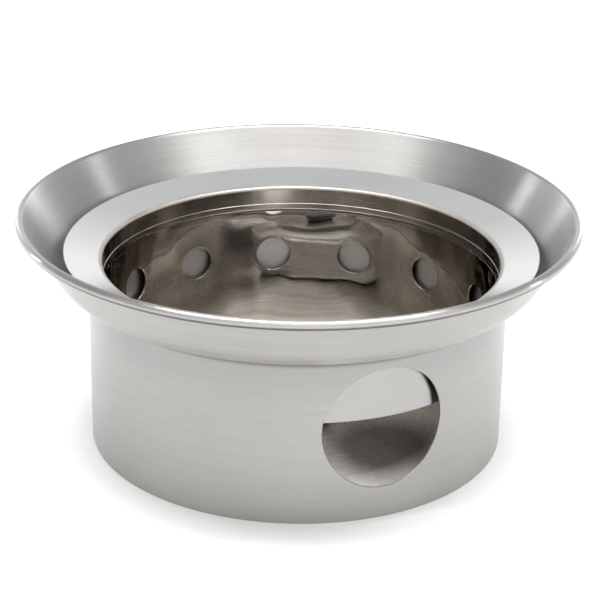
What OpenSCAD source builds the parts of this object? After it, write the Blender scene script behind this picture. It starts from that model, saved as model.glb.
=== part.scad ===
// Table-top alcohol spirit stove: a flared windshield body, a loose pot support ring,
// a turning vented liner that opens and closes the air window, and a lift-out burner
// with a swinging snuffer lid. Millimetres, +Z up, origin at the centre of the base.

/* [Body] */
// Outer diameter of the straight shell
shell_d = 150; // [140:1:150]
// Height of the shell, up to the seam with the collar
shell_h = 59.5; // [58:0.5:61]
// Sheet thickness of the shell and the base
shell_t = 0.8; // [0.6:0.1:1]
// Height of the burner floor above the table
floor_z = 5; // [4.5:0.1:5.5]
// Diameter of the round air window
window_d = 43.8; // [30:0.2:46]
// Height of the window's centre
window_z = 33.3; // [31:0.1:35]
// Direction of the window, in degrees from the front (-Y) towards +X
window_turn = 23.65; // [0:0.05:45]

/* [Flared collar] */
// Outer diameter over the rolled rim
rim_d = 200; // [196:1:204]
// Height of the middle of the rolled rim
rim_z = 83.05; // [81:0.05:86]
// Thickness of the rolled rim
bead_d = 3.2; // [2.6:0.1:3.6]
// Sheet thickness of the collar
collar_t = 0.6; // [0.5:0.05:0.7]
// Rise of the collar's shoulder, in degrees
shoulder_rise = 18; // [16:1:20]
// Rise of the collar's wall, in degrees
wall_rise = 59; // [57:1:61]
// Outside radius of the bend between shoulder and wall
bend_r = 17; // [12:1:18]

/* [Pot support ring] */
// Outer diameter of the dished ring
ring_od = 169.4; // [160:0.2:171]
// Diameter of the flame opening
ring_id = 142; // [140:0.2:142.2]
// Height of the ring's outer edge
ring_z = 71.6; // [70:0.1:73]
// Slope of the dish, in degrees
ring_dish = 16.2; // [14:0.1:20]
// How far the loose ring lies off centre
ring_play = 1; // [0:0.1:1]

/* [Liner] */
// Outer diameter of the liner
liner_d = 144.8; // [144.2:0.1:144.8]
// Height of the liner's top edge
liner_top = 57.5; // [56:0.1:57.8]
// Number of places round the liner, some taken by the air gate
vent_places = 14; // [14:2:16]
// Diameter of a vent
vent_d = 13.3; // [8:0.1:13.5]
// Height of the vents
vent_z = 39.3; // [38:0.1:44]
// Top of the air gate
gate_top = 36.3; // [30:0.1:38]
// Bottom of the air gate
gate_bottom = 10; // [9:0.5:14]
// Angle that the air gate spans
gate_span = 54; // [40:1:56]
// Direction of the gate's middle, from +X
gate_turn = -68.94; // [-90:0.01:-45]

/* [Burner] */
// Diameter of the fuel cup
cup_d = 44; // [44:1:52]
// Height of the fuel cup
cup_h = 18; // [17.6:0.1:22]
// Diameter of the flame opening in the cover
flame_d = 24; // [20:0.2:24]
// Where the burner stands, left of the centre
burner_x = -7; // [-8:0.5:0]

/* [Hidden] */
$fn = 96;

steel = [0.78, 0.78, 0.77];
satin = [0.70, 0.70, 0.69];
polished = [0.84, 0.84, 0.85];
smoked = [0.52, 0.50, 0.47];
wool_white = [0.88, 0.86, 0.80];
phenolic = [0.10, 0.10, 0.11];

// Play between two pieces of one assembly that are welded or pressed together
press_play = 0.05;
// Step between the points of a bend, in degrees
bend_step = 3.5;
// How far a cutter reaches past what it cuts
over = 1;

shell_r = shell_d / 2;
shell_ir = shell_r - shell_t;
pan_play = 0.1;
pan_r = shell_ir - pan_play;
// Clear height under the base pieces, so that the shell's edge alone stands on the table
base_gap = 0.4;
plate_t = 0.6;
spacer_r = 4;
spacer_ring_r = 45;
spacer_count = 3;

track_t = 0.6;
track_lip_h = 4;
// How far the track reaches in under the liner's wall
track_ledge = 0.9;
liner_r = liner_d / 2;
liner_t = 0.6;
liner_ir = liner_r - liner_t;
liner_foot = floor_z + track_t + press_play;
// Radial play in which the liner turns inside the track's lip
liner_play = 0.5;
track_lip_ir = liner_r + liner_play;
vent_pitch = 360 / vent_places;
gate_places = 2;
gate_r = 4;
// Radius at which the gate's two sides are measured
gate_reach = liner_r + 2;
guide_r = 2.2;
guide_h = 1.2;
guide_z = 49.6;
guide_count = 3;
guide_turn = 60;

bead_r = bead_d / 2;
bead_cx = rim_d / 2 - bead_r;
curl_ir = bead_r - collar_t;
curl_step = 15;
// The curl closes to this angle, where a dark slit stays open under the rim
curl_end = -175;
neck_r = shell_ir - press_play;
neck_ir = neck_r - collar_t;
// How far the collar's neck reaches down into the shell
neck_depth = 6.5;
neck_foot = shell_h - neck_depth;

ring_t = 0.8;
ring_r = ring_od / 2;
ring_ir = ring_id / 2;
ring_corner_r = 1.3;
ring_foot = 58.6;
ring_edge_r = 0.35;
// The foot of the ring's neck is folded over to a hem
hem_t = 0.2;
hem_h = 2.4;
carrier_t = 0.7;
carrier_r = 78.6;
// Clearance under the carrier's foot, where it comes nearest to the shoulder
carrier_lift = 0.25;
// Heights of the sleeve's inner edges above the ring's foot
sleeve_low = 3.2;
sleeve_high = 7;

cup_r = cup_d / 2;
cup_t = 0.7;
cup_bend_r = 3.2;
cup_top = floor_z + cup_h;
cover_t = 0.7;
cover_r = cup_r + press_play + cover_t;
cover_skirt = 4.2;
cover_rise = 1.5;
cover_bevel = 0.6;
cover_flat = 3;
neck_bevel = 1;
flame_r = flame_d / 2;
neck_h = 1.6;
cover_top = cup_top + cover_t + cover_rise + neck_h;
wool_gap = 0.4;
wool_h = 12.5;
wool_edge = 1;
gauze_r = 14.6;
gauze_t = 0.4;
gauze_ring_h = 0.8;
// How far the ring reaches in under the gauze and out past it
gauze_lap = 2.4;
gauze_rim = 0.8;

lid_t = 0.8;
lid_gap = 0.1;
lid_z = cover_top + lid_gap;
lid_overhang = 2.4;
lid_r = flame_r + lid_overhang;
pivot_turn = 200;
// The pivot stands between the flame opening and the cup's wall
pivot_ring_r = cup_r - 4.4;
pivot_r = 1.5;
pivot_play = 0.05;
pivot_head_r = 3;
pivot_head_h = 0.9;
// How far the pivot reaches down under the cover
pivot_tail = 1.4;
ear_r = 4.4;
ear_w = 7.4;
// How far the ear's strip reaches in over the lid's disc
ear_lap = 4;
// The bush stands on the slope of the cover, at the pivot's inner side
bush_lift = 1.35;
bush_z = cup_top + cover_t + bush_lift;
knob_r = 4.4;
knob_h = 6.2;
knob_foot_r = 3.2;
knob_waist_r = 2.8;
knob_waist_z = 1.6;
knob_edge_r = 1.5;
knob_dome = 0.5;
// Depth of the rivet's hole, up from the knob's foot
knob_hole_h = 4.4;
rivet_r = 1.2;
rivet_head_r = 2.6;
rivet_head_h = 0.5;

// Points of an arc about c, from angle a to angle b in equal steps of at most step
function arc(c, r, a, b, step) =
    let (n = ceil(abs(b - a) / step))
    [for (i = [0 : n]) let (t = a + (b - a) * i / n) c + r * [cos(t), sin(t)]];

// Unit vectors along a rise and across it, to its upper left
function along(rise) = [cos(rise), sin(rise)];
function across(rise) = [-sin(rise), cos(rise)];

// Crossing of the line through p at rise a with the line through q at rise b
function crossing(p, a, q, b) =
    let (d = q - p, k = (d.x * sin(b) - d.y * cos(b)) / sin(b - a))
    p + k * along(a);

// Collar section: where the shoulder starts, where the wall meets the bead, and the bend
bead_c = [bead_cx, rim_z];
seam_p = [shell_r, shell_h];
wall_p = bead_c + curl_ir * across(wall_rise);
corner_p = crossing(seam_p, shoulder_rise, wall_p, wall_rise);
bend_reach = bend_r * tan((wall_rise - shoulder_rise) / 2);
bend_c = corner_p - bend_reach * along(shoulder_rise) + bend_r * across(shoulder_rise);
// Height of the shoulder's upper face at radius r
function shoulder_z(r) =
    shell_h + collar_t / cos(shoulder_rise) + (r - shell_r) * tan(shoulder_rise);

// A ring of sheet between two radii and two heights
module band(r_in, r_out, z_low, z_high) {
    translate([0, 0, z_low])
        difference() {
            cylinder(r = r_out, h = z_high - z_low);
            translate([0, 0, -over])
                cylinder(r = r_in, h = z_high - z_low + 2 * over);
        }
}

// A plain disc that starts at height z
module disc(r, z, h) {
    translate([0, 0, z])
        cylinder(r = r, h = h);
}

// A round cutter that points away from the axis at the given turn and height
module radial_hole(turn, z, d, reach) {
    rotate([0, 0, turn])
        translate([0, 0, z])
            rotate([0, 90, 0])
                cylinder(d = d, h = reach);
}

module outer_shell() {
    color(steel)
        difference() {
            band(shell_ir, shell_r, 0, shell_h);
            radial_hole(window_turn - 90, window_z, window_d, shell_r + over);
        }
}

module base_pan() {
    color(satin) {
        disc(pan_r, floor_z - shell_t, shell_t);
        band(pan_r - shell_t, pan_r, base_gap, floor_z - shell_t / 2);
    }
}

module bottom_plate() {
    color(satin)
        disc(pan_r - shell_t - press_play, base_gap, plate_t);
}

module plate_spacers() {
    spacer_h = floor_z - shell_t - base_gap - plate_t;
    color(satin)
        for (i = [0 : spacer_count - 1])
            rotate([0, 0, i * 360 / spacer_count + 90])
                translate([spacer_ring_r, 0, base_gap + plate_t])
                    cylinder(r = spacer_r, h = spacer_h);
}

module liner_track() {
    color(satin) {
        band(liner_ir - track_ledge, track_lip_ir + track_t, floor_z, floor_z + track_t);
        band(track_lip_ir, track_lip_ir + track_t, floor_z + track_t / 2, floor_z + track_lip_h);
    }
}

module flared_collar() {
    upper_face = concat(
        [[neck_ir, neck_foot], [neck_ir, shoulder_z(neck_ir)]],
        arc(bend_c, bend_r - collar_t, shoulder_rise - 90, wall_rise - 90, bend_step),
        arc(bead_c, bead_r, wall_rise + 90, curl_end, curl_step)
    );
    lower_face = concat(
        arc(bead_c, curl_ir, curl_end, wall_rise + 90, curl_step),
        arc(bend_c, bend_r, wall_rise - 90, shoulder_rise - 90, bend_step),
        [seam_p, [neck_r, shell_h], [neck_r, neck_foot]]
    );
    color(steel)
        rotate_extrude()
            polygon(concat(upper_face, lower_face));
}

module rim_wire() {
    color(satin)
        rotate_extrude()
            translate(bead_c)
                circle(r = curl_ir - press_play, $fn = 32);
}

module support_ring() {
    corner_c = [ring_ir + ring_corner_r, ring_z - (ring_r - ring_ir - ring_corner_r) * tan(ring_dish)
        - ring_corner_r / cos(ring_dish)];
    edge_c = [ring_r - ring_edge_r, ring_z - ring_edge_r * (1 + tan(ring_dish))];
    color(polished)
        translate([ring_play, 0, 0])
            rotate_extrude()
                polygon(concat(
                    [
                        [ring_ir - hem_t, ring_foot],
                        [ring_ir - hem_t, ring_foot + hem_h - hem_t],
                        [ring_ir, ring_foot + hem_h]
                    ],
                    arc(corner_c, ring_corner_r, 180, ring_dish + 90, 12),
                    arc(edge_c, ring_edge_r, ring_dish + 90, ring_dish - 90, 30),
                    arc(corner_c, ring_corner_r - ring_t, ring_dish + 90, 180, 24),
                    [[ring_ir + ring_t, ring_foot]]
                ));
}

module ring_carrier() {
    sleeve_ir = ring_ir + ring_t + press_play;
    sleeve_r = sleeve_ir + carrier_t;
    foot_play = carrier_lift / cos(shoulder_rise) + ring_play * tan(shoulder_rise);
    color(satin)
        translate([ring_play, 0, 0])
            rotate_extrude()
                polygon([
                    [sleeve_ir, ring_foot + sleeve_low],
                    [sleeve_ir, ring_foot + sleeve_high],
                    [sleeve_r, ring_foot + sleeve_high],
                    [sleeve_r, shoulder_z(sleeve_r) + foot_play + carrier_t],
                    [carrier_r, shoulder_z(carrier_r) + foot_play + carrier_t],
                    [carrier_r, shoulder_z(carrier_r) + foot_play],
                    [sleeve_r, shoulder_z(sleeve_r) + foot_play]
                ]);
}

// The air gate: a window between two heights over the stated span
module gate_cutter() {
    half_w = gate_reach * sin(gate_span / 2);
    rotate([0, 0, gate_turn])
        translate([0, 0, gate_bottom])
            rotate([90, 0, 90])
                linear_extrude(height = liner_r + over) {
                    translate([-half_w, gate_r])
                        square([2 * half_w, gate_top - gate_bottom - gate_r]);
                    translate([-half_w + gate_r, 0])
                        square([2 * (half_w - gate_r), 2 * gate_r]);
                    for (side = [-1, 1])
                        translate([side * (half_w - gate_r), gate_r])
                            circle(r = gate_r);
                }
}

module vented_liner() {
    color(smoked)
        difference() {
            band(liner_ir, liner_r, liner_foot, liner_top);
            for (i = [gate_places / 2 : vent_places - gate_places / 2 - 1])
                radial_hole(gate_turn + (i + 0.5) * vent_pitch, vent_z, vent_d, liner_r + over);
            gate_cutter();
        }
}

module liner_guides() {
    color(satin)
        for (i = [0 : guide_count - 1])
            rotate([0, 0, gate_turn + guide_turn + i * 360 / guide_count])
                translate([liner_r, 0, guide_z])
                    rotate([0, 90, 0])
                        cylinder(r = guide_r, h = guide_h);
}

module fuel_cup() {
    foot_c = [cup_r - cup_bend_r, floor_z + cup_bend_r];
    color(steel)
        translate([burner_x, 0, 0])
            rotate_extrude()
                polygon(concat(
                    [[0, floor_z]],
                    arc(foot_c, cup_bend_r, -90, 0, 15),
                    [[cup_r, cup_top], [cup_r - cup_t, cup_top]],
                    arc(foot_c, cup_bend_r - cup_t, 0, -90, 15),
                    [[0, floor_z + cup_t]]
                ));
}

module fuel_wool() {
    wool_r = cup_r - cup_t - wool_gap;
    wool_bend = cup_bend_r - cup_t;
    wool_z = floor_z + cup_t;
    wool_top = wool_z + wool_h;
    color(wool_white)
        translate([burner_x, 0, 0])
            rotate_extrude()
                polygon(concat(
                    [[0, wool_z]],
                    arc([wool_r - wool_bend, wool_z + wool_bend], wool_bend, -90, 0, 15),
                    [[wool_r, wool_top - wool_edge], [wool_r - wool_edge, wool_top], [0, wool_top]]
                ));
}

// The gauze lies on its ring, and the ring stands on the wool
gauze_ring_z = floor_z + cup_t + wool_h;

module gauze_ring() {
    color(satin)
        translate([burner_x, 0, 0])
            band(gauze_r - gauze_lap, gauze_r + gauze_rim, gauze_ring_z, gauze_ring_z + gauze_ring_h);
}

module flame_gauze() {
    color(smoked)
        translate([burner_x, 0, 0])
            disc(gauze_r, gauze_ring_z + gauze_ring_h, gauze_t);
}

module cup_cover() {
    flat_z = cup_top + cover_t;
    crown_z = flat_z + cover_rise;
    color(steel)
        difference() {
            translate([burner_x, 0, 0])
                rotate_extrude()
                    polygon([
                        [cover_r - cover_t, cup_top - cover_skirt],
                        [cover_r, cup_top - cover_skirt],
                        [cover_r, flat_z - cover_bevel],
                        [cover_r - cover_bevel, flat_z],
                        [cover_r - cover_flat, flat_z],
                        [flame_r + cover_t + neck_bevel, crown_z],
                        [flame_r + cover_t, crown_z + neck_bevel],
                        [flame_r + cover_t, cover_top],
                        [flame_r, cover_top],
                        [flame_r, crown_z - cover_t],
                        [cover_r - cover_flat, cup_top],
                        [cover_r - cover_t, cup_top]
                    ]);
            at_pivot()
                disc(pivot_r + pivot_play, cup_top - over, lid_z - cup_top + over);
        }
}

// Stands its children on the lid's pivot
module at_pivot() {
    translate([burner_x, 0, 0])
        rotate([0, 0, pivot_turn])
            translate([pivot_ring_r, 0, 0])
                children();
}

module lid_pivot() {
    head_z = lid_z + lid_t + lid_gap;
    color(satin)
        at_pivot() {
            disc(pivot_r, cup_top - pivot_tail, head_z + pivot_head_h / 2 - cup_top + pivot_tail);
            disc(pivot_head_r, head_z, pivot_head_h);
        }
}

module lid_bush() {
    color(satin)
        at_pivot()
            band(pivot_r + pivot_play, pivot_head_r, bush_z, lid_z - lid_gap);
}

module snuffer_lid() {
    color(polished)
        difference() {
            union() {
                translate([burner_x, 0, 0])
                    disc(lid_r, lid_z, lid_t);
                at_pivot()
                    disc(ear_r, lid_z, lid_t);
                translate([burner_x, 0, lid_z])
                    rotate([0, 0, pivot_turn])
                        translate([lid_r - ear_lap, -ear_w / 2, 0])
                            cube([pivot_ring_r - lid_r + ear_lap, ear_w, lid_t]);
            }
            at_pivot()
                disc(pivot_r + pivot_play, lid_z - over, lid_t + 2 * over);
            translate([burner_x, 0, 0])
                disc(rivet_r, lid_z - over, lid_t + 2 * over);
            translate([burner_x, 0, 0])
                disc(rivet_head_r + press_play, lid_z - over, rivet_head_h + over);
        }
}

module lid_knob() {
    knob_z = lid_z + lid_t;
    edge_c = [knob_r - knob_edge_r, knob_h - knob_edge_r - knob_dome];
    color(phenolic)
        translate([burner_x, 0, knob_z])
            difference() {
                rotate_extrude()
                    polygon(concat(
                        [[0, 0], [knob_foot_r, 0], [knob_waist_r, knob_waist_z]],
                        arc(edge_c, knob_edge_r, -40, 80, 20),
                        [[0, knob_h]]
                    ));
                disc(rivet_r, -over, knob_hole_h + over);
            }
}

module knob_rivet() {
    shank_h = lid_t + knob_hole_h - rivet_head_h / 2 - press_play;
    color(satin)
        translate([burner_x, 0, lid_z]) {
            disc(rivet_r - press_play / 2, rivet_head_h / 2, shank_h);
            disc(rivet_head_r, 0, rivet_head_h);
        }
}

outer_shell();
base_pan();
bottom_plate();
plate_spacers();
liner_track();
flared_collar();
rim_wire();
support_ring();
ring_carrier();
vented_liner();
liner_guides();
fuel_cup();
fuel_wool();
gauze_ring();
flame_gauze();
cup_cover();
lid_pivot();
lid_bush();
snuffer_lid();
lid_knob();
knob_rivet();
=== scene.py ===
"""Looks of the table-top spirit stove: brushed and polished sheet steel on a pale studio floor.
Metres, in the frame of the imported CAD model."""

import math

import bmesh
import bpy
from mathutils import Matrix, Vector
from mathutils.geometry import delaunay_2d_cdt


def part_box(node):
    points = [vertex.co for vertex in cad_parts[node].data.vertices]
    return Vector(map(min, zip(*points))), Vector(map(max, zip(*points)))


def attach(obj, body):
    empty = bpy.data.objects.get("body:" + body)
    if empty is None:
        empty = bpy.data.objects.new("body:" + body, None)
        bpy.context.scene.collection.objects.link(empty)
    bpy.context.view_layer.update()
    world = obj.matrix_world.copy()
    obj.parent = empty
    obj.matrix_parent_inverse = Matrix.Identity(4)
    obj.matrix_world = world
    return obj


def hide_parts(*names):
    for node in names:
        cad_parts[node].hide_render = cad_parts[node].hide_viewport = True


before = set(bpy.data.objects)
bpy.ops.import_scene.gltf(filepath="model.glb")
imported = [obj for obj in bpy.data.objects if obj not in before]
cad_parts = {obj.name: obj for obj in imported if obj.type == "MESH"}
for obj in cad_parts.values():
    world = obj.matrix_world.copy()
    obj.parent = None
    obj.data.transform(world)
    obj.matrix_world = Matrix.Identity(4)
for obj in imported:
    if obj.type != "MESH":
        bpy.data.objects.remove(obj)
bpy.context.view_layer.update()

MM = 0.001
TURN = 2 * math.pi
QUARTER = math.pi / 2
ON_AXIS = 1e-7
SAME_PLACE = 1e-6
FLAT_TOLERANCE = 1e-9
NEAR_AXIS = 1e-5


# ---------------------------------------------------------------- measures from the frame

def reach(node):
    """Half the width of a node along X, which is its outer radius if it is round."""
    low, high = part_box(node)
    return (high.x - low.x) / 2


def middle_x(node):
    low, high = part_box(node)
    return (low.x + high.x) / 2


def low_z(node):
    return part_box(node)[0].z


def high_z(node):
    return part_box(node)[1].z


SHELL_R = reach("outer_shell")
SHELL_TOP = high_z("outer_shell")
SHELL_T = 0.8 * MM
WINDOW_R = 21.9 * MM
WINDOW_Z = 33.3 * MM
WINDOW_TURN = math.radians(23.65 - 90)

RIM_R = reach("flared_collar")
COLLAR_T = 0.6 * MM
BEAD_R = 1.6 * MM
RIM_Z = high_z("flared_collar") - BEAD_R
SHOULDER_RISE = math.radians(18)
WALL_RISE = math.radians(59)
BEND_R = 17 * MM

RING_R = reach("support_ring")
RING_TOP = high_z("support_ring")
RING_FOOT = low_z("support_ring")
RING_X = middle_x("support_ring")
RING_IR = 71 * MM
RING_T = 0.8 * MM
RING_DISH = math.radians(16.2)
RING_CORNER_R = 1.3 * MM
RING_CORNER_Z = (RING_TOP - (RING_R - RING_IR - RING_CORNER_R) * math.tan(RING_DISH)
                 - RING_CORNER_R / math.cos(RING_DISH))
HEM_T = 0.2 * MM
HEM_H = 2.4 * MM

LINER_R = reach("vented_liner")
LINER_T = 0.6 * MM
LINER_TOP = high_z("vented_liner")
LINER_FOOT = low_z("vented_liner")
VENT_PLACES = 14
VENT_R = 6.65 * MM
VENT_Z = 39.3 * MM
GATE_TOP = 36.3 * MM
GATE_BOTTOM = 10 * MM
GATE_CORNER_R = 4 * MM
GATE_HALF_WIDTH = (LINER_R + 2 * MM) * math.sin(math.radians(27))
GATE_TURN = math.radians(-68.94)

FLOOR_Z = high_z("base_pan")
BURNER_X = middle_x("fuel_cup")


# ---------------------------------------------------------------- mesh helpers

def arc(centre, radius, start, end, steps):
    """Points of an arc in the (r, z) plane, angles in radians."""
    points = []
    for i in range(steps + 1):
        a = start + (end - start) * i / steps
        points.append((centre[0] + radius * math.cos(a), centre[1] + radius * math.sin(a)))
    return points


def mesh_object(name, bm, material, sharp=38, weighted=True):
    """Makes a smooth-shaded object from bm, with sharp edges above that angle."""
    bmesh.ops.recalc_face_normals(bm, faces=bm.faces)
    mesh = bpy.data.meshes.new(name)
    bm.to_mesh(mesh)
    bm.free()
    for polygon in mesh.polygons:
        polygon.use_smooth = True
    mesh.set_sharp_from_angle(angle=math.radians(sharp))
    piece = bpy.data.objects.new(name, mesh)
    bpy.context.scene.collection.objects.link(piece)
    mesh.materials.append(material)
    if weighted:
        weights = piece.modifiers.new("weights", "WEIGHTED_NORMAL")
        weights.keep_sharp = True
    return piece


def lathe(name, outline, material, segments=384, centre_x=0.0, sharp=38):
    """Turns a closed (r, z) outline about the upright line through centre_x.
    A point on the axis becomes one vertex."""
    bm = bmesh.new()
    columns = []
    for r, z in outline:
        if r < ON_AXIS:
            columns.append([bm.verts.new((centre_x, 0, z))] * segments)
            continue
        column = []
        for i in range(segments):
            a = TURN * i / segments
            column.append(bm.verts.new((centre_x + r * math.cos(a), r * math.sin(a), z)))
        columns.append(column)
    for k, column in enumerate(columns):
        following = columns[(k + 1) % len(columns)]
        for i in range(segments):
            j = (i + 1) % segments
            corners = []
            for v in (column[i], column[j], following[j], following[i]):
                if v not in corners:
                    corners.append(v)
            if len(corners) > 2:
                bm.faces.new(corners)
    return mesh_object(name, bm, material, sharp)


def circle_loop(turn, z, radius, wall_r, count=72):
    """A round hole in a rolled sheet, as (angle, z) points."""
    loop = []
    for i in range(count):
        t = TURN * i / count
        loop.append((turn + math.asin(radius * math.cos(t) / wall_r), z + radius * math.sin(t)))
    return loop


def between(start, end, parts):
    """The points that divide a straight line into parts, without its two ends."""
    steps = [i / parts for i in range(1, parts)]
    return [(start[0] + (end[0] - start[0]) * s, start[1] + (end[1] - start[1]) * s) for s in steps]


def gate_loop(grow, wall_r):
    """The air gate's outline, cut straight through the wall, as (angle, z) points, grown outwards by grow."""
    corner = GATE_CORNER_R + grow
    half = GATE_HALF_WIDTH + grow
    low, high = GATE_BOTTOM - grow, GATE_TOP + grow
    corner_steps, side_parts, top_parts, foot_parts = 8, 11, 34, 30
    flat = arc((half - corner, low + corner), corner, -QUARTER, 0, corner_steps)
    flat += between((half, low + corner), (half, high), side_parts) + [(half, high)]
    flat += between((half, high), (-half, high), top_parts) + [(-half, high)]
    flat += between((-half, high), (-half, low + corner), side_parts)
    flat += arc((-half + corner, low + corner), corner, math.pi, 3 * QUARTER, corner_steps)
    flat += between((-half + corner, low), (half - corner, low), foot_parts)
    return [(GATE_TURN + math.asin(x / wall_r), z) for x, z in flat]


def rolled_sheet(name, outer_r, thick, low, high, hole_loops, material, columns=360, rows=24, edge=0.12 * MM):
    """A closed wall rolled from sheet, with punched holes, and edges rounded by about edge.
    hole_loops(grow) gives the holes' (angle, z) loops, grown by that much."""
    mid_rounding = 0.3
    soft = edge * mid_rounding
    levels = [(outer_r, edge), (outer_r - soft, soft), (outer_r - edge, 0.0),
              (outer_r - thick + edge, 0.0), (outer_r - thick + soft, soft), (outer_r - thick, edge)]
    bm = bmesh.new()
    seam = GATE_TURN + math.pi
    faces = []
    for radius, grow in (levels[0], levels[-1]):
        loops = hole_loops(grow)
        faces.append(sheet_face(bm, radius, low + grow, high - grow, loops, seam, columns, rows))
    outer_rings, inner_rings = faces
    for side in range(len(outer_rings)):
        rings = [outer_rings[side]]
        for radius, grow in levels[1:-1]:
            rings.append(matching_ring(bm, rings[0], radius, grow, side, low, high, hole_loops))
        rings.append(inner_rings[side])
        for near, far in zip(rings, rings[1:]):
            for i in range(len(near)):
                j = (i + 1) % len(near)
                bm.faces.new((near[i], near[j], far[j], far[i]))
    bmesh.ops.remove_doubles(bm, verts=bm.verts, dist=SAME_PLACE)
    return mesh_object(name, bm, material, sharp=50)


def polar(radius, angle, z):
    return (radius * math.cos(angle), radius * math.sin(angle), z)


def matching_ring(bm, first, radius, grow, side, low, high, hole_loops):
    """The ring of the sheet's edge at a depth in the sheet.
    Side 0 is the bottom edge and 1 the top, and the rest are holes."""
    if side < 2:
        z = low + grow if side == 0 else high - grow
        return [bm.verts.new(polar(radius, math.atan2(v.co.y, v.co.x), z)) for v in first]
    loop = hole_loops(grow)[side - 2]
    return [bm.verts.new(polar(radius, a, z)) for a, z in loop]


def sheet_face(bm, radius, low, high, loops, seam, columns, rows):
    """One face of a rolled sheet as triangles between its edges and holes.
    Returns the rings of vertices at its bottom, its top and its holes."""
    points, edges = [], []

    def place(a):
        """An angle in the sheet's own range, so that no hole crosses the seam."""
        return (a - seam) % TURN + seam

    def add_chain(chain, closed):
        first = len(points)
        points.extend(Vector((a * radius, z)) for a, z in chain)
        last = len(points) - 1
        edges.extend((k, k + 1) for k in range(first, last))
        if closed:
            edges.append((last, first))
        return list(range(first, last + 1))

    row_z = [low + (high - low) * j / rows for j in range(rows + 1)]
    bottom = [(seam + TURN * i / columns, low) for i in range(columns + 1)]
    top = [(seam + TURN * (columns - i) / columns, high) for i in range(columns + 1)]
    right = [(seam + TURN, z) for z in row_z[1:-1]]
    left = [(seam, z) for z in reversed(row_z[1:-1])]
    border = add_chain(bottom + right + top + left, True)
    hole_ids = []
    for loop in loops:
        hole_ids.append(add_chain([(place(a), z) for a, z in loop], True))
    hole_margin = 1.2 * MM
    boxes = []
    for loop in loops:
        angles = [place(a) for a, z in loop]
        heights = [z for a, z in loop]
        boxes.append((loop, min(angles), max(angles), min(heights), max(heights)))
    for j in range(1, rows):
        for i in range(1, columns):
            a, z = seam + TURN * i / columns, row_z[j]
            if all(outside(a, z, box, radius, hole_margin, place) for box in boxes):
                points.append(Vector((a * radius, z)))
    made = delaunay_2d_cdt(points, edges, [], 0, FLAT_TOLERANCE)
    co, faces, original = made[0], made[2], made[3]
    where = {}
    for new, olds in enumerate(original):
        for old in olds:
            where[old] = new
    verts = [bm.verts.new(polar(radius, p.x / radius, p.y)) for p in co]
    for face in faces:
        c = sum((co[k] for k in face), Vector((0, 0))) / len(face)
        if not any(inside(c.x / radius, c.y, [(place(a), z) for a, z in loop]) for loop in loops):
            bm.faces.new([verts[k] for k in face])
    bottom_ring = [verts[where[border[i]]] for i in range(columns)]
    top_start = columns + 1 + len(right)
    top_ring = [verts[where[border[top_start + columns - i]]] for i in range(columns)]
    holes = [[verts[where[k]] for k in ids] for ids in hole_ids]
    return [bottom_ring, top_ring] + holes


def outside(a, z, box, radius, margin, place):
    """True if a point lies clear of a hole's box by the margin, or clear of its outline."""
    loop, a_low, a_high, z_low, z_high = box
    pad = margin / radius
    if a < a_low - pad or a > a_high + pad or z < z_low - margin or z > z_high + margin:
        return True
    nearest = min(math.hypot((place(b) - a) * radius, y - z) for b, y in loop)
    return nearest > margin and not inside(a, z, [(place(b), y) for b, y in loop])


def inside(a, z, loop):
    """True if the point lies in the loop, by counting crossings."""
    found = False
    for k, (b, y) in enumerate(loop):
        c, x = loop[k - 1]
        if (y > z) != (x > z) and a < (c - b) * (z - y) / (x - y) + b:
            found = not found
    return found


# ---------------------------------------------------------------- materials

class Tree:
    """Adds and links the nodes of a material or of the world."""

    def __init__(self, tree):
        self.tree = tree
        self.tree.nodes.clear()

    def link(self, source, target):
        self.tree.links.new(source, target)

    def fill(self, socket, value):
        if isinstance(value, (int, float)):
            socket.default_value = value
        elif isinstance(value, tuple):
            socket.default_value = (*value, 1)
        else:
            self.link(value, socket)

    def math(self, operation, *values):
        node = self.tree.nodes.new("ShaderNodeMath")
        node.operation = operation
        for socket, value in zip(node.inputs, values):
            self.fill(socket, value)
        return node.outputs[0]

    def split(self, output):
        """The point or direction given by a texture coordinate, as x, y and z."""
        coordinates = self.tree.nodes.new("ShaderNodeTexCoord")
        separate = self.tree.nodes.new("ShaderNodeSeparateXYZ")
        self.link(coordinates.outputs[output], separate.inputs[0])
        return separate.outputs

    def vector(self, x, y, z):
        join = self.tree.nodes.new("ShaderNodeCombineXYZ")
        for socket, value in zip(join.inputs, (x, y, z)):
            self.fill(socket, value)
        return join.outputs[0]

    def noise(self, vector, scale=1.0, detail=4.0, roughness=0.55):
        node = self.tree.nodes.new("ShaderNodeTexNoise")
        node.inputs["Scale"].default_value = scale
        node.inputs["Detail"].default_value = detail
        node.inputs["Roughness"].default_value = roughness
        self.link(vector, node.inputs["Vector"])
        return node.outputs["Fac"]

    def spread(self, value, low, high, from_low=0.3, from_high=0.7, smooth=False):
        """A value mapped from one range to another and held at the range's ends."""
        node = self.tree.nodes.new("ShaderNodeMapRange")
        if smooth:
            node.interpolation_type = "SMOOTHSTEP"
        node.inputs["From Min"].default_value = from_low
        node.inputs["From Max"].default_value = from_high
        node.inputs["To Min"].default_value = low
        node.inputs["To Max"].default_value = high
        self.link(value, node.inputs["Value"])
        return node.outputs[0]

    def blend_colours(self, factor, first, second):
        node = self.tree.nodes.new("ShaderNodeMix")
        node.data_type = "RGBA"
        factor_socket, colours, result = node.inputs[0], (node.inputs[6], node.inputs[7]), node.outputs[2]
        self.link(factor, factor_socket)
        self.fill(colours[0], first)
        self.fill(colours[1], second)
        return result


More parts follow.
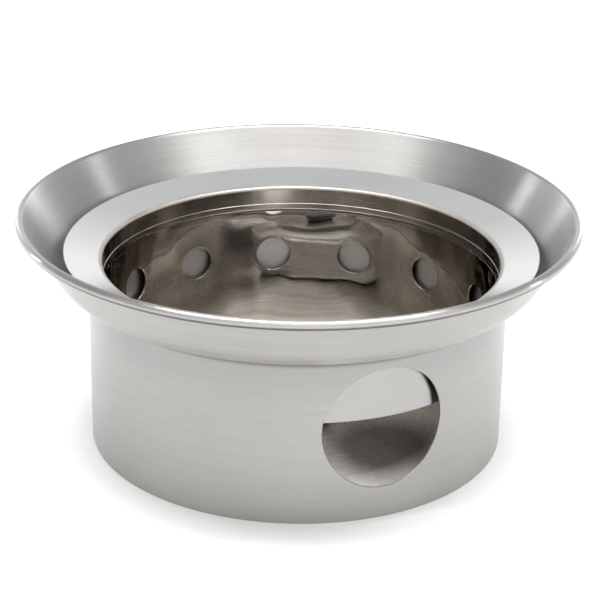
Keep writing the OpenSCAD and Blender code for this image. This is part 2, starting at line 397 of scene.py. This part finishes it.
class Nodes(Tree):
    """A material with one principled shader."""

    def __init__(self, name):
        self.material = bpy.data.materials.new(name)
        self.material.use_nodes = True
        super().__init__(self.material.node_tree)
        self.output = self.tree.nodes.new("ShaderNodeOutputMaterial")
        self.shader = self.tree.nodes.new("ShaderNodeBsdfPrincipled")
        self.link(self.shader.outputs[0], self.output.inputs[0])

    def place(self):
        """The point in the object's own frame, as a vector."""
        return self.vector(*self.split("Object"))

    def distance_from(self, centre_x=0.0, centre_y=0.0):
        """The distance from the upright line through a point."""
        x, y, z = self.split("Object")
        x = self.math("SUBTRACT", x, centre_x)
        y = self.math("SUBTRACT", y, centre_y)
        return self.math("SQRT", self.math("ADD", self.math("MULTIPLY", x, x), self.math("MULTIPLY", y, y)))

    def height(self):
        return self.split("Object")[2]

    def turned(self, around, across, along, centre_x=0.0):
        """Coordinates that run round the axis slowly and across the brush lines fast.
        along picks the direction across the lines: z, r, or both for a slope."""
        x, y, z = self.split("Object")
        x = self.math("SUBTRACT", x, centre_x)
        r = self.distance_from(centre_x)
        safe = self.math("MAXIMUM", r, NEAR_AXIS)
        across_value = {"z": z, "r": r, "both": self.math("ADD", r, z)}[along]
        return self.vector(
            self.math("MULTIPLY", self.math("DIVIDE", x, safe), around),
            self.math("MULTIPLY", self.math("DIVIDE", y, safe), around),
            self.math("MULTIPLY", across_value, across),
        )

    def bump(self, height, strength, distance, below=None):
        node = self.tree.nodes.new("ShaderNodeBump")
        node.inputs["Strength"].default_value = strength
        node.inputs["Distance"].default_value = distance
        self.link(height, node.inputs["Height"])
        if below is not None:
            self.link(below, node.inputs["Normal"])
        return node.outputs[0]

    def set(self, **values):
        for name, value in values.items():
            self.fill(self.shader.inputs[name.replace("_", " ")], value)


def tangent(n):
    """The direction round the axis, for the stretch of the highlights."""
    node = n.tree.nodes.new("ShaderNodeTangent")
    node.direction_type = "RADIAL"
    node.axis = "Z"
    n.link(node.outputs[0], n.shader.inputs["Tangent"])


# Noise cells per metre across the brush lines, from single lines to slow changes of tone.
FINE_LINES = 5200
HAIRLINES = 2600
SCRATCHES = 1500
BANDS = 700
DENTS = 32
CLOUDS = 22

# A quarter turn, so that highlights stretch across the lines and not along them.
ACROSS_LINES = 0.25

# A dark tint: painted shade in the rim's crease and under the collar's seam, and a darkening of the shell
# towards its top.
DARK_TINT = (0.13, 0.12, 0.125)
# A light tint for painted light at the shell's foot.
LIT_FOOT_TINT = (0.62, 0.61, 0.595)
# A light tint for painted light round the turned floor's edge.
LIT_RIM_TINT = (0.95, 0.93, 0.90)
# A dark tint for a painted shade patch on the turned floor.
SHADE_PATCH_TINT = (0.10, 0.094, 0.09)


def brush_noise(n, along, coarse=BANDS, centre_x=0.0):
    """The three sizes of brush marks: lines, bands and clouds."""
    lines = n.noise(n.turned(around=3.0, across=FINE_LINES, along=along, centre_x=centre_x), detail=3)
    bands = n.noise(n.turned(around=1.6, across=coarse, along=along, centre_x=centre_x), detail=4)
    clouds = n.noise(n.turned(around=1.2, across=CLOUDS, along=along, centre_x=centre_x), detail=3)
    return lines, bands, clouds


def mixed(n, *parts):
    """The weighted sum of (value, weight) parts."""
    total = n.math("MULTIPLY", *parts[0])
    for value, weight in parts[1:]:
        total = n.math("ADD", total, n.math("MULTIPLY", value, weight))
    return total


def brushed(name, light, dark, along, roughness, stretch, coarse=BANDS, relief=0.12, centre_x=0.0, painted_layers=()):
    """Sheet steel brushed round its axis: fine lines, broader bands and a slow change of tone.
    Each painted layer lays a colour over the steel, mostly painted light or shade: (colour, measure, where it
    starts, where it is full, its strength there), with measure either "z" for the height or an (x, y) point
    for the distance from it."""
    n = Nodes(name)
    lines, bands, clouds = brush_noise(n, along, coarse, centre_x)
    tone = mixed(n, (lines, 0.35), (bands, 0.35), (clouds, 0.3))
    steel = n.blend_colours(n.spread(tone, 0, 1), dark, light)
    for colour, measure, start, full, strength in painted_layers:
        value = n.height() if measure == "z" else n.distance_from(*measure)
        steel = n.blend_colours(n.spread(value, 0, strength, start, full), steel, colour)
    n.set(
        Base_Color=steel,
        Metallic=1.0,
        Roughness=n.spread(mixed(n, (lines, 0.5), (bands, 0.5)), roughness * 0.85, roughness * 1.15),
        Anisotropic=stretch,
        Anisotropic_Rotation=ACROSS_LINES,
        Normal=n.bump(bands, relief * 0.6, 0.02 * MM, n.bump(lines, relief, 0.006 * MM)),
    )
    tangent(n)
    return n.material


def collar_finish():
    """The flare's brushing with its ragged scratches, the smoother, burnished bead of the rim, and painted
    shade in the crease under the bead.
    """
    n = Nodes("collar_steel")
    lines, bands, clouds = brush_noise(n, "both")
    scratches = n.noise(n.turned(around=26.0, across=SCRATCHES, along="both"), detail=3, roughness=0.6)
    tone = mixed(n, (lines, 0.30), (bands, 0.30), (clouds, 0.25), (scratches, 0.15))
    bead = n.spread(n.distance_from(), 0, 1, RIM_R - 3.0 * MM, RIM_R - 2.2 * MM)
    rough = n.spread(mixed(n, (lines, 0.5), (bands, 0.5)), 0.30, 0.40)
    # Painted shade: the colour is darkened in the crease under the bead.
    crease = n.math("MULTIPLY", bead, n.spread(n.height(), 1, 0, RIM_Z - 0.6 * MM, RIM_Z))
    dark, light = (0.350, 0.343, 0.334), (0.505, 0.498, 0.488)
    steel = n.blend_colours(n.spread(tone, 0, 1), dark, light)
    n.set(
        Base_Color=n.blend_colours(crease, steel, DARK_TINT),
        Metallic=1.0,
        Roughness=n.math("MULTIPLY", rough, n.spread(bead, 1.0, 0.75, 0, 1)),
        Anisotropic=0.95,
        Anisotropic_Rotation=ACROSS_LINES,
        Normal=n.bump(scratches, 0.8, 0.06 * MM, n.bump(lines, 0.12, 0.006 * MM)),
    )
    tangent(n)
    return n.material


def polished(name, light, dark, roughness, waves=0.0):
    """Smooth steel with faint hairlines, cloudy roughness and, if asked, the waves of rolled sheet."""
    n = Nodes(name)
    place = n.place()
    clouds = n.noise(place, scale=60, detail=4)
    hair = n.noise(n.turned(around=5.0, across=HAIRLINES, along="both"), detail=2)
    relief = n.bump(hair, 0.05, 0.003 * MM)
    if waves:
        dents = n.noise(n.turned(around=2.6, across=DENTS, along="z"), detail=1.2, roughness=0.35)
        relief = n.bump(dents, waves, 1.3 * MM, relief)
    n.set(
        Base_Color=n.blend_colours(n.spread(clouds, 0, 1), dark, light),
        Metallic=1.0,
        Roughness=n.spread(clouds, roughness * 0.7, roughness * 1.3),
        Anisotropic_Rotation=ACROSS_LINES,
        Normal=relief,
    )
    tangent(n)
    return n.material


def ring_polish():
    """The ring's bright face, its rubbed inner corner, and a darker, warmer tone over that corner and down in
    its neck, painted as shade.
    """
    n = Nodes("ring_steel")
    place = n.place()
    clouds = n.noise(place, scale=60, detail=4)
    hair = n.noise(n.turned(around=5.0, across=HAIRLINES, along="both", centre_x=RING_X), detail=2)
    # Painted shade: the bright face colour stops short of the inner corner, so the corner and the neck take
    # the darker neck colour.
    face = n.spread(n.distance_from(RING_X), 0, 1, RING_IR + 0.8 * MM, RING_IR + 1.6 * MM)
    bright = n.blend_colours(n.spread(clouds, 0, 1), (0.775, 0.775, 0.785), (0.80, 0.80, 0.81))
    neck = n.blend_colours(n.spread(clouds, 0, 1), (0.44, 0.41, 0.375), (0.50, 0.465, 0.43))
    corner = n.spread(n.height(), 0, 1, RING_CORNER_Z - 0.2 * MM, RING_CORNER_Z + 0.4 * MM)
    corner = n.math("MULTIPLY", corner, n.spread(face, 1, 0, 0, 1))
    rough = n.math("MULTIPLY", n.spread(corner, 0.155, 0.45, 0, 1), n.spread(clouds, 0.8, 1.25))
    n.set(
        Base_Color=n.blend_colours(face, neck, bright),
        Metallic=1.0,
        Roughness=rough,
        Anisotropic_Rotation=ACROSS_LINES,
        Normal=n.bump(hair, 0.05, 0.003 * MM),
    )
    tangent(n)
    return n.material


def wool_fibre():
    """Loose mineral fibre: soft, off-white, with tangled strands."""
    n = Nodes("mineral_wool")
    place = n.place()
    tangle = n.noise(place, scale=420, detail=6, roughness=0.7)
    clumps = n.noise(place, scale=90, detail=3)
    tone = mixed(n, (tangle, 0.6), (clumps, 0.4))
    n.set(
        Base_Color=n.blend_colours(n.spread(tone, 0, 1), (0.60, 0.57, 0.50), (0.86, 0.84, 0.79)),
        Roughness=0.95,
        Sheen_Weight=0.3,
        Normal=n.bump(tone, 0.8, 0.5 * MM),
    )
    return n.material


def moulded_knob():
    """Black heat-proof moulding with a faint grain and rubbed patches."""
    n = Nodes("moulded_knob")
    place = n.place()
    grain = n.noise(place, scale=2200, detail=3)
    rubbed = n.noise(place, scale=240, detail=4)
    n.set(
        Base_Color=n.blend_colours(n.spread(rubbed, 0, 1), (0.016, 0.016, 0.017), (0.032, 0.031, 0.031)),
        Roughness=n.spread(rubbed, 0.34, 0.52),
        Normal=n.bump(grain, 0.15, 0.02 * MM),
    )
    return n.material


def floor_paint():
    """Pale paint, with a weak glow near the stove that keeps its shadow short at the sides."""
    n = Nodes("studio_floor")
    mottle = n.noise(n.place(), scale=3, detail=2)
    away = n.distance_from(0.0, -8 * MM)
    start = n.spread(away, 0, 0.22, 70 * MM, 90 * MM)
    glow = n.math("MULTIPLY", start, n.spread(away, 1, 0, 95 * MM, 130 * MM))
    n.set(
        Base_Color=n.blend_colours(n.spread(mottle, 0, 1), (0.945, 0.945, 0.945), (0.955, 0.955, 0.955)),
        Roughness=0.8,
        Specular_IOR_Level=0.2,
        Emission_Color=(1.0, 1.0, 1.0),
        Emission_Strength=glow,
    )
    return n.material


# Painted shade: the centre of the dark patch on the turned floor, to the side of the air window.
SHADE_PATCH_REACH = 42 * MM
SHADE_PATCH_TURN = WINDOW_TURN + math.radians(25)
SHADE_PATCH_PLACE = (SHADE_PATCH_REACH * math.cos(SHADE_PATCH_TURN), SHADE_PATCH_REACH * math.sin(SHADE_PATCH_TURN))
shell_steel = brushed("shell_steel", (0.392, 0.387, 0.378), (0.312, 0.307, 0.300), "z", roughness=0.34,
                      stretch=0.75, painted_layers=(
    # Darker towards the top of the shell.
    (DARK_TINT, "z", SHELL_TOP - 16 * MM, SHELL_TOP - 3 * MM, 0.12),
    # Painted shade: a dark line on the shell just under the collar's seam.
    (DARK_TINT, "z", SHELL_TOP - 2.2 * MM, SHELL_TOP - 0.6 * MM, 1.0),
    # Painted light: the shell is lightened towards its foot.
    (LIT_FOOT_TINT, "z", 14 * MM, 0.0, 0.2),
))
collar_steel = collar_finish()
floor_steel = brushed("turned_floor_steel", (0.65, 0.63, 0.60), (0.54, 0.52, 0.50), "r", roughness=0.27,
                      stretch=1.0, coarse=500, relief=0.08, painted_layers=(
    # Painted shade: a dark patch on the floor beside the air window.
    (SHADE_PATCH_TINT, SHADE_PATCH_PLACE, 33 * MM, 14 * MM, 0.93),
    # Painted light: a lighter band round the floor's outer edge.
    (LIT_RIM_TINT, (0.0, 0.0), 52 * MM, 64 * MM, 0.8),
))
ring_steel = ring_polish()
liner_steel = polished("liner_steel", (0.50, 0.465, 0.43), (0.44, 0.41, 0.375), roughness=0.04, waves=0.9)
shell_inner_steel = brushed("shell_inner_steel", (0.52, 0.505, 0.485), (0.44, 0.425, 0.405), "z",
                            roughness=0.42, stretch=0.6)
liner_back_steel = brushed("liner_back_steel", (0.385, 0.382, 0.374), (0.350, 0.347, 0.340), "z",
                           roughness=0.30, stretch=0.75)
burner_steel = brushed("burner_steel", (0.60, 0.59, 0.57), (0.52, 0.51, 0.495), "both", roughness=0.28,
                       stretch=0.6, centre_x=BURNER_X)
satin_steel = polished("satin_steel", (0.60, 0.59, 0.58), (0.54, 0.53, 0.52), roughness=0.32)
gauze_steel = polished("gauze_steel", (0.50, 0.47, 0.43), (0.36, 0.33, 0.30), roughness=0.4)
wool = wool_fibre()
knob_black = moulded_knob()


# ---------------------------------------------------------------- pieces

FACES_THAT_WAY = 0.9


def paint_face(piece, material, side):
    """Gives the outer face (side 1) or the inner face (side -1) of a rolled sheet its own material."""
    piece.data.materials.append(material)
    for polygon in piece.data.polygons:
        outward = polygon.normal.to_2d().dot(polygon.center.to_2d().normalized())
        if outward * side > FACES_THAT_WAY:
            polygon.material_index = 1


def shell_piece():
    """The straight wall with its round air window."""
    def holes(grow):
        return [circle_loop(WINDOW_TURN, WINDOW_Z, WINDOW_R + grow, SHELL_R, count=120)]

    piece = rolled_sheet("shell_wall", SHELL_R, SHELL_T, low_z("outer_shell"), SHELL_TOP, holes, shell_steel,
                         edge=0.25 * MM)
    paint_face(piece, shell_inner_steel, -1)
    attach(piece, "body")
    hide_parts("outer_shell")


def liner_piece():
    """The inner wall with its air gate, which takes two of the vent places, and a vent in each other."""
    pitch = TURN / VENT_PLACES

    def holes(grow):
        loops = [gate_loop(grow, LINER_R)]
        for i in range(1, VENT_PLACES - 1):
            turn = GATE_TURN + (i + 0.5) * pitch
            loops.append(circle_loop(turn, VENT_Z, VENT_R + grow, LINER_R, count=64))
        return loops

    piece = rolled_sheet("liner_wall", LINER_R, LINER_T, LINER_FOOT, LINER_TOP, holes, liner_steel)
    paint_face(piece, liner_back_steel, 1)
    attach(piece, "air_liner")
    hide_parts("vented_liner")


def across(rise):
    return (-math.sin(rise), math.cos(rise))


def crossing(p, a, q, b):
    """Where the line through p at rise a meets the line through q at rise b."""
    dx, dz = q[0] - p[0], q[1] - p[1]
    k = (dx * math.sin(b) - dz * math.cos(b)) / math.sin(b - a)
    return (p[0] + k * math.cos(a), p[1] + k * math.sin(a))


def collar_piece():
    """Neck, shoulder, bend, wall and the curl of the rim, in one sheet."""
    bead = (RIM_R - BEAD_R, RIM_Z)
    inner_r = BEAD_R - COLLAR_T
    wall = (bead[0] + inner_r * across(WALL_RISE)[0], bead[1] + inner_r * across(WALL_RISE)[1])
    corner = crossing((SHELL_R, SHELL_TOP), SHOULDER_RISE, wall, WALL_RISE)
    bend_reach = BEND_R * math.tan((WALL_RISE - SHOULDER_RISE) / 2)
    bend = (
        corner[0] - bend_reach * math.cos(SHOULDER_RISE) + BEND_R * across(SHOULDER_RISE)[0],
        corner[1] - bend_reach * math.sin(SHOULDER_RISE) + BEND_R * across(SHOULDER_RISE)[1],
    )
    neck_gap = 0.05 * MM
    neck_r = SHELL_R - SHELL_T - neck_gap
    neck_ir = neck_r - COLLAR_T
    neck_foot = low_z("flared_collar")
    shoulder_z = SHELL_TOP + COLLAR_T / math.cos(SHOULDER_RISE)
    shoulder_z += (neck_ir - SHELL_R) * math.tan(SHOULDER_RISE)
    curl_end = math.radians(-175)
    seam_r = 0.15 * MM
    seam_z = SHELL_TOP + 0.22 * MM
    seam = (SHELL_R + 0.55 * MM, seam_z + seam_r)
    upper = [(neck_ir, neck_foot), (neck_ir, shoulder_z - 0.2 * MM), (neck_ir + 0.15 * MM, shoulder_z)]
    upper += arc(bend, BEND_R - COLLAR_T, SHOULDER_RISE - QUARTER, WALL_RISE - QUARTER, 24)
    upper += arc(bead, BEAD_R, WALL_RISE + QUARTER, curl_end, 40)
    lower = arc(bead, inner_r, curl_end, WALL_RISE + QUARTER, 40)
    lower += arc(bend, BEND_R, WALL_RISE - QUARTER, SHOULDER_RISE - QUARTER, 24)
    lower += arc(seam, seam_r, SHOULDER_RISE - QUARTER, -QUARTER, 5)
    lower += [(neck_r, seam_z), (neck_r, neck_foot)]
    piece = lathe("collar_and_rim", upper + lower, collar_steel, 512)
    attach(piece, "body")
    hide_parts("flared_collar")


def ring_piece():
    """The dished ring with its rounded inner corner, drawn neck and hem."""
    edge_r = 0.35 * MM
    slope = math.tan(RING_DISH)
    corner = (RING_IR + RING_CORNER_R, RING_CORNER_Z)
    edge = (RING_R - edge_r, RING_TOP - edge_r * (1 + slope))
    lip_r = RING_T / 2 - 0.02 * MM
    hem_r = RING_IR - HEM_T
    outline = [(RING_IR + RING_T, RING_FOOT + lip_r)]
    outline += arc((hem_r + lip_r, RING_FOOT + lip_r), lip_r, -QUARTER, -math.pi, 6)
    outline += arc((hem_r + HEM_T, RING_FOOT + HEM_H - HEM_T), HEM_T, math.pi, QUARTER, 5)
    outline += arc(corner, RING_CORNER_R, math.pi, RING_DISH + QUARTER, 14)
    outline += arc(edge, edge_r, RING_DISH + QUARTER, RING_DISH - QUARTER, 12)
    outline += arc(corner, RING_CORNER_R - RING_T, RING_DISH + QUARTER, math.pi, 10)
    piece = lathe("dished_ring", outline, ring_steel, 512, RING_X)
    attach(piece, "pot_ring")
    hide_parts("support_ring")


def floor_piece():
    """The turned floor with its rounded shoulder and flange."""
    outer = reach("base_pan")
    low = low_z("base_pan")
    bend = 1.4 * MM
    centre = (outer - bend, FLOOR_Z - bend)
    outline = [(0, FLOOR_Z)]
    outline += arc(centre, bend, QUARTER, 0, 8)
    outline += [(outer, low), (outer - SHELL_T, low)]
    outline += arc(centre, bend - SHELL_T, 0, QUARTER, 6)
    outline += [(0, FLOOR_Z - SHELL_T)]
    piece = lathe("turned_floor", outline, floor_steel, 384)
    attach(piece, "body")
    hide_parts("base_pan")


def gauze_piece():
    """Two sets of crossing wires, woven over and under, inside the gauze's own disc."""
    low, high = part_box("flame_gauze")
    middle = Vector(((low.x + high.x) / 2, (low.y + high.y) / 2, (low.z + high.z) / 2))
    radius = (high.x - low.x) / 2
    wire_r = (high.z - low.z) / 4
    pitch = 1.1 * MM
    sides = 6
    count = int(radius / pitch)
    bm = bmesh.new()
    for set_number in range(2):
        for k in range(-count, count + 1):
            across_at = k * pitch
            half = math.sqrt(radius ** 2 - across_at ** 2) - wire_r
            steps = max(4, int(2 * half / pitch * 4))
            rows = []
            for s in range(steps + 1):
                along_at = -half + 2 * half * s / steps
                wave = math.cos(math.pi * (along_at / pitch + k + set_number)) * wire_r
                row = []
                for c in range(sides):
                    a = TURN * c / sides
                    side, lift = across_at + wire_r * math.cos(a), wave + wire_r * math.sin(a)
                    x, y = (along_at, side) if set_number == 0 else (side, along_at)
                    row.append(bm.verts.new(middle + Vector((x, y, lift))))
                rows.append(row)
            for first, second in zip(rows, rows[1:]):
                for c in range(sides):
                    d = (c + 1) % sides
                    bm.faces.new((first[c], first[d], second[d], second[c]))
            bm.faces.new(rows[0])
            bm.faces.new(rows[-1])
    piece = mesh_object("woven_gauze", bm, gauze_steel, weighted=False)
    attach(piece, "burner")
    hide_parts("flame_gauze")


def paint(node, material):
    """Gives a CAD node a material of its own."""
    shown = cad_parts[node]
    shown.data.materials.clear()
    shown.data.materials.append(material)


shell_piece()
liner_piece()
collar_piece()
ring_piece()
floor_piece()
gauze_piece()
for node in ("bottom_plate", "plate_spacers", "liner_track", "rim_wire", "ring_carrier", "liner_guides",
             "gauze_ring", "lid_pivot", "lid_bush", "knob_rivet"):
    paint(node, satin_steel)
paint("fuel_wool", wool)
paint("lid_knob", knob_black)
for node in ("fuel_cup", "cup_cover", "snuffer_lid"):
    paint(node, burner_steel)


# ---------------------------------------------------------------- stage, light and camera

def studio_floor():
    """A wide round floor at the height the stove stands on."""
    bpy.ops.mesh.primitive_circle_add(vertices=96, radius=6, fill_type="NGON", location=(0, 0, 0))
    ground = bpy.context.object
    ground.name = "studio_floor"
    ground.data.materials.append(floor_paint())


def soft_box(name, place, target, width, height, power):
    """A white rectangular lamp at a place, turned towards a target. Sizes in metres, power in watts."""
    data = bpy.data.lights.new(name, "AREA")
    data.shape = "RECTANGLE"
    data.size = width
    data.size_y = height
    data.energy = power
    lamp = bpy.data.objects.new(name, data)
    lamp.location = place
    lamp.rotation_mode = "QUATERNION"
    lamp.rotation_quaternion = (Vector(target) - Vector(place)).to_track_quat("-Z", "Y")
    bpy.context.scene.collection.objects.link(lamp)


def unit(azimuth, elevation):
    """A direction from its azimuth from +X and its elevation, in degrees."""
    a, e = math.radians(azimuth), math.radians(elevation)
    return (math.cos(e) * math.cos(a), math.cos(e) * math.sin(a), math.sin(e))


def studio_world(stops, panels):
    """A pale tent, slightly warm at the front. stops are (sine of the elevation, brightness).
    Each panel adds a soft round glow or, with a brightness below 0, a soft round shade,
    as (direction, angle where it is full, angle where it ends, brightness), angles in degrees."""
    world = bpy.data.worlds.new("studio")
    bpy.context.scene.world = world
    world.use_nodes = True
    n = Tree(world.node_tree)
    output = n.tree.nodes.new("ShaderNodeOutputWorld")
    background = n.tree.nodes.new("ShaderNodeBackground")
    n.link(background.outputs[0], output.inputs[0])
    x, y, z = n.split("Generated")
    level = 0.0
    for (low, first), (high, second) in zip(stops, stops[1:]):
        rise = n.spread(z, 0.0, second - first, low, high)
        level = n.math("ADD", rise, level)
    level = n.math("ADD", level, stops[0][1])
    for direction, inner, outer, gain in panels:
        towards = n.math("MULTIPLY", x, direction[0])
        towards = n.math("MULTIPLY_ADD", y, direction[1], towards)
        towards = n.math("MULTIPLY_ADD", z, direction[2], towards)
        end, full = math.cos(math.radians(outer)), math.cos(math.radians(inner))
        level = n.math("ADD", level, n.spread(towards, 0.0, gain, end, full, smooth=True))
    front = n.spread(n.math("MULTIPLY", y, -1.0), 0, 1, 0.2, 0.9)
    warm_green, warm_blue = 0.972, 0.94
    green = n.math("MULTIPLY", level, n.spread(front, 1.0, warm_green, 0, 1))
    blue = n.math("MULTIPLY", level, n.spread(front, 1.0, warm_blue, 0, 1))
    n.link(n.vector(level, green, blue), background.inputs[0])


def photo_camera():
    """Looks from the front and above, with the slight roll of a hand-held view."""
    elevation = math.radians(23.05)
    roll = 0.017
    distance = 6.94 * RIM_R
    aim_x, aim_z = 0.0077 * RIM_R, 0.498 * RIM_R
    target = Vector((aim_x, 0, aim_z))
    back = Vector((0, -math.cos(elevation), math.sin(elevation)))
    data = bpy.data.cameras.new("camera")
    data.sensor_width = 36
    data.lens = 115.2
    data.clip_start = 0.01
    data.clip_end = 50
    camera = bpy.data.objects.new("camera", data)
    bpy.context.scene.collection.objects.link(camera)
    camera.rotation_mode = "QUATERNION"
    turn = (-back).to_track_quat("-Z", "Y")
    camera.rotation_quaternion = (turn.to_matrix() @ Matrix.Rotation(roll, 3, "Z")).to_quaternion()
    camera.location = target + back * distance
    bpy.context.scene.camera = camera


studio_floor()
studio_world(
    [(-1, 0.9), (0, 1.2), (0.3, 1.1), (0.55, 0.7), (0.85, 0.6), (1, 0.4)],
    [
        (unit(-90, 50), 15, 70, 0.55),
        (unit(-90, 42), 3, 17, 0.7),
        (unit(-90, 12), 18, 50, -0.35),
        (unit(-138, 20), 6, 30, -0.35),
        (unit(168, 19), 5, 28, -0.4),
        (unit(28, 12), 5, 25, -0.25),
    ],
)
soft_box("top_box", (0, -0.05, 1.6), (0, -0.05, 0.05), width=1.8, height=0.6, power=29)
SIDE_LAMP_DISTANCE = 2.2
SIDE_LAMP_TARGET = (0, 0, 0.075)
for name, azimuth, elevation, width, height, power in (
    ("back_left", 118.5, 14, 0.22, 0.85, 1.4),
    ("back_right", 63, 14, 0.50, 0.85, 2.4),
    ("left_streak", 149.5, 12, 0.05, 0.58, 2.3),
    ("right_streak", 12, 12, 0.05, 0.58, 2.6),
):
    place = Vector(unit(azimuth, elevation)) * SIDE_LAMP_DISTANCE
    soft_box(name, place, SIDE_LAMP_TARGET, width, height, power)
photo_camera()
bpy.context.scene.view_settings.view_transform = "Standard"
bpy.context.scene.view_settings.look = "None"
